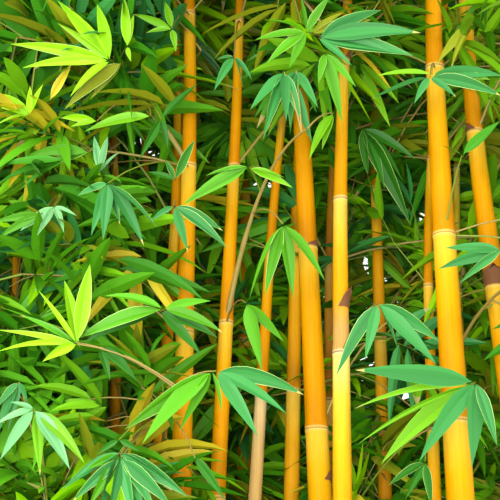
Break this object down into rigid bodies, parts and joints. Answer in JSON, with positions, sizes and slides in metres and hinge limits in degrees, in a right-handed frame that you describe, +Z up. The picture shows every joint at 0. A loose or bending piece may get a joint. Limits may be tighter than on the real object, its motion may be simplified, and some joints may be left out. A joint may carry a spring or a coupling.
{
  "type": "potted bamboo",
  "caption": "Clump of golden-caned bamboo in a plain round clay pot, canes flared at the foot and arched at the tip, with side branches carrying fans of long leaves.",
  "frame": {"origin": "centre of the pot's flat underside, on the floor that the plant stands on", "axes": "+Z up along the canes, -Y towards the front that the picture shows, +X to the right seen from there"},
  "size_m": [1.7193, 1.2666, 3.9229],
  "materials": {
    "cane": "satin",
    "branch": "matte",
    "foliage": "satin",
    "pot_clay": "matte",
    "soil": "matte"
  },
  "bodies": {
    "root": {"bough_lower_1": "branch", "bough_lower_2": "branch", "bough_middle_1": "branch", "bough_middle_2": "branch", "bough_middle_3": "branch", "bough_middle_4": "branch", "bough_middle_5": "branch", "bough_middle_6": "branch", "cane_back": "cane", "cane_back_inner": "cane", "cane_back_left": "cane", "cane_back_right": "cane", "cane_centre": "cane", "cane_centre_left": "cane", "cane_centre_right": "cane", "cane_far_left": "cane", "cane_far_right": "cane", "cane_inner_left": "cane", "cane_inner_right": "cane", "cane_left_front": "cane", "cane_left_inner": "cane", "cane_left_second": "cane", "cane_left_third": "cane", "cane_right_back": "cane", "cane_right_front": "cane", "cane_right_inner": "cane", "cane_right_second": "cane", "foliage_high_1": "foliage", "foliage_high_2": "foliage", "foliage_high_3": "foliage", "foliage_high_4": "foliage", "foliage_low_1": "foliage", "foliage_low_2": "foliage", "foliage_low_3": "foliage", "foliage_low_4": "foliage", "foliage_lower_1": "foliage", "foliage_lower_2": "foliage", "foliage_lower_3": "foliage", "foliage_lower_4": "foliage", "foliage_lower_5": "foliage", "foliage_middle_1": "foliage", "foliage_middle_2": "foliage", "foliage_middle_3": "foliage", "foliage_middle_4": "foliage", "foliage_middle_5": "foliage", "foliage_middle_6": "foliage", "foliage_tip_back": "foliage", "foliage_tip_back_left": "foliage", "foliage_tip_centre": "foliage", "foliage_tip_left_front": "foliage", "foliage_tip_right_front": "foliage", "foliage_tip_right_inner": "foliage", "foliage_upper_1": "foliage", "foliage_upper_2": "foliage", "foliage_upper_3": "foliage", "foliage_upper_4": "foliage", "foliage_upper_5": "foliage", "pot": "pot_clay", "soil": "soil"}
  },
  "joints": []
}
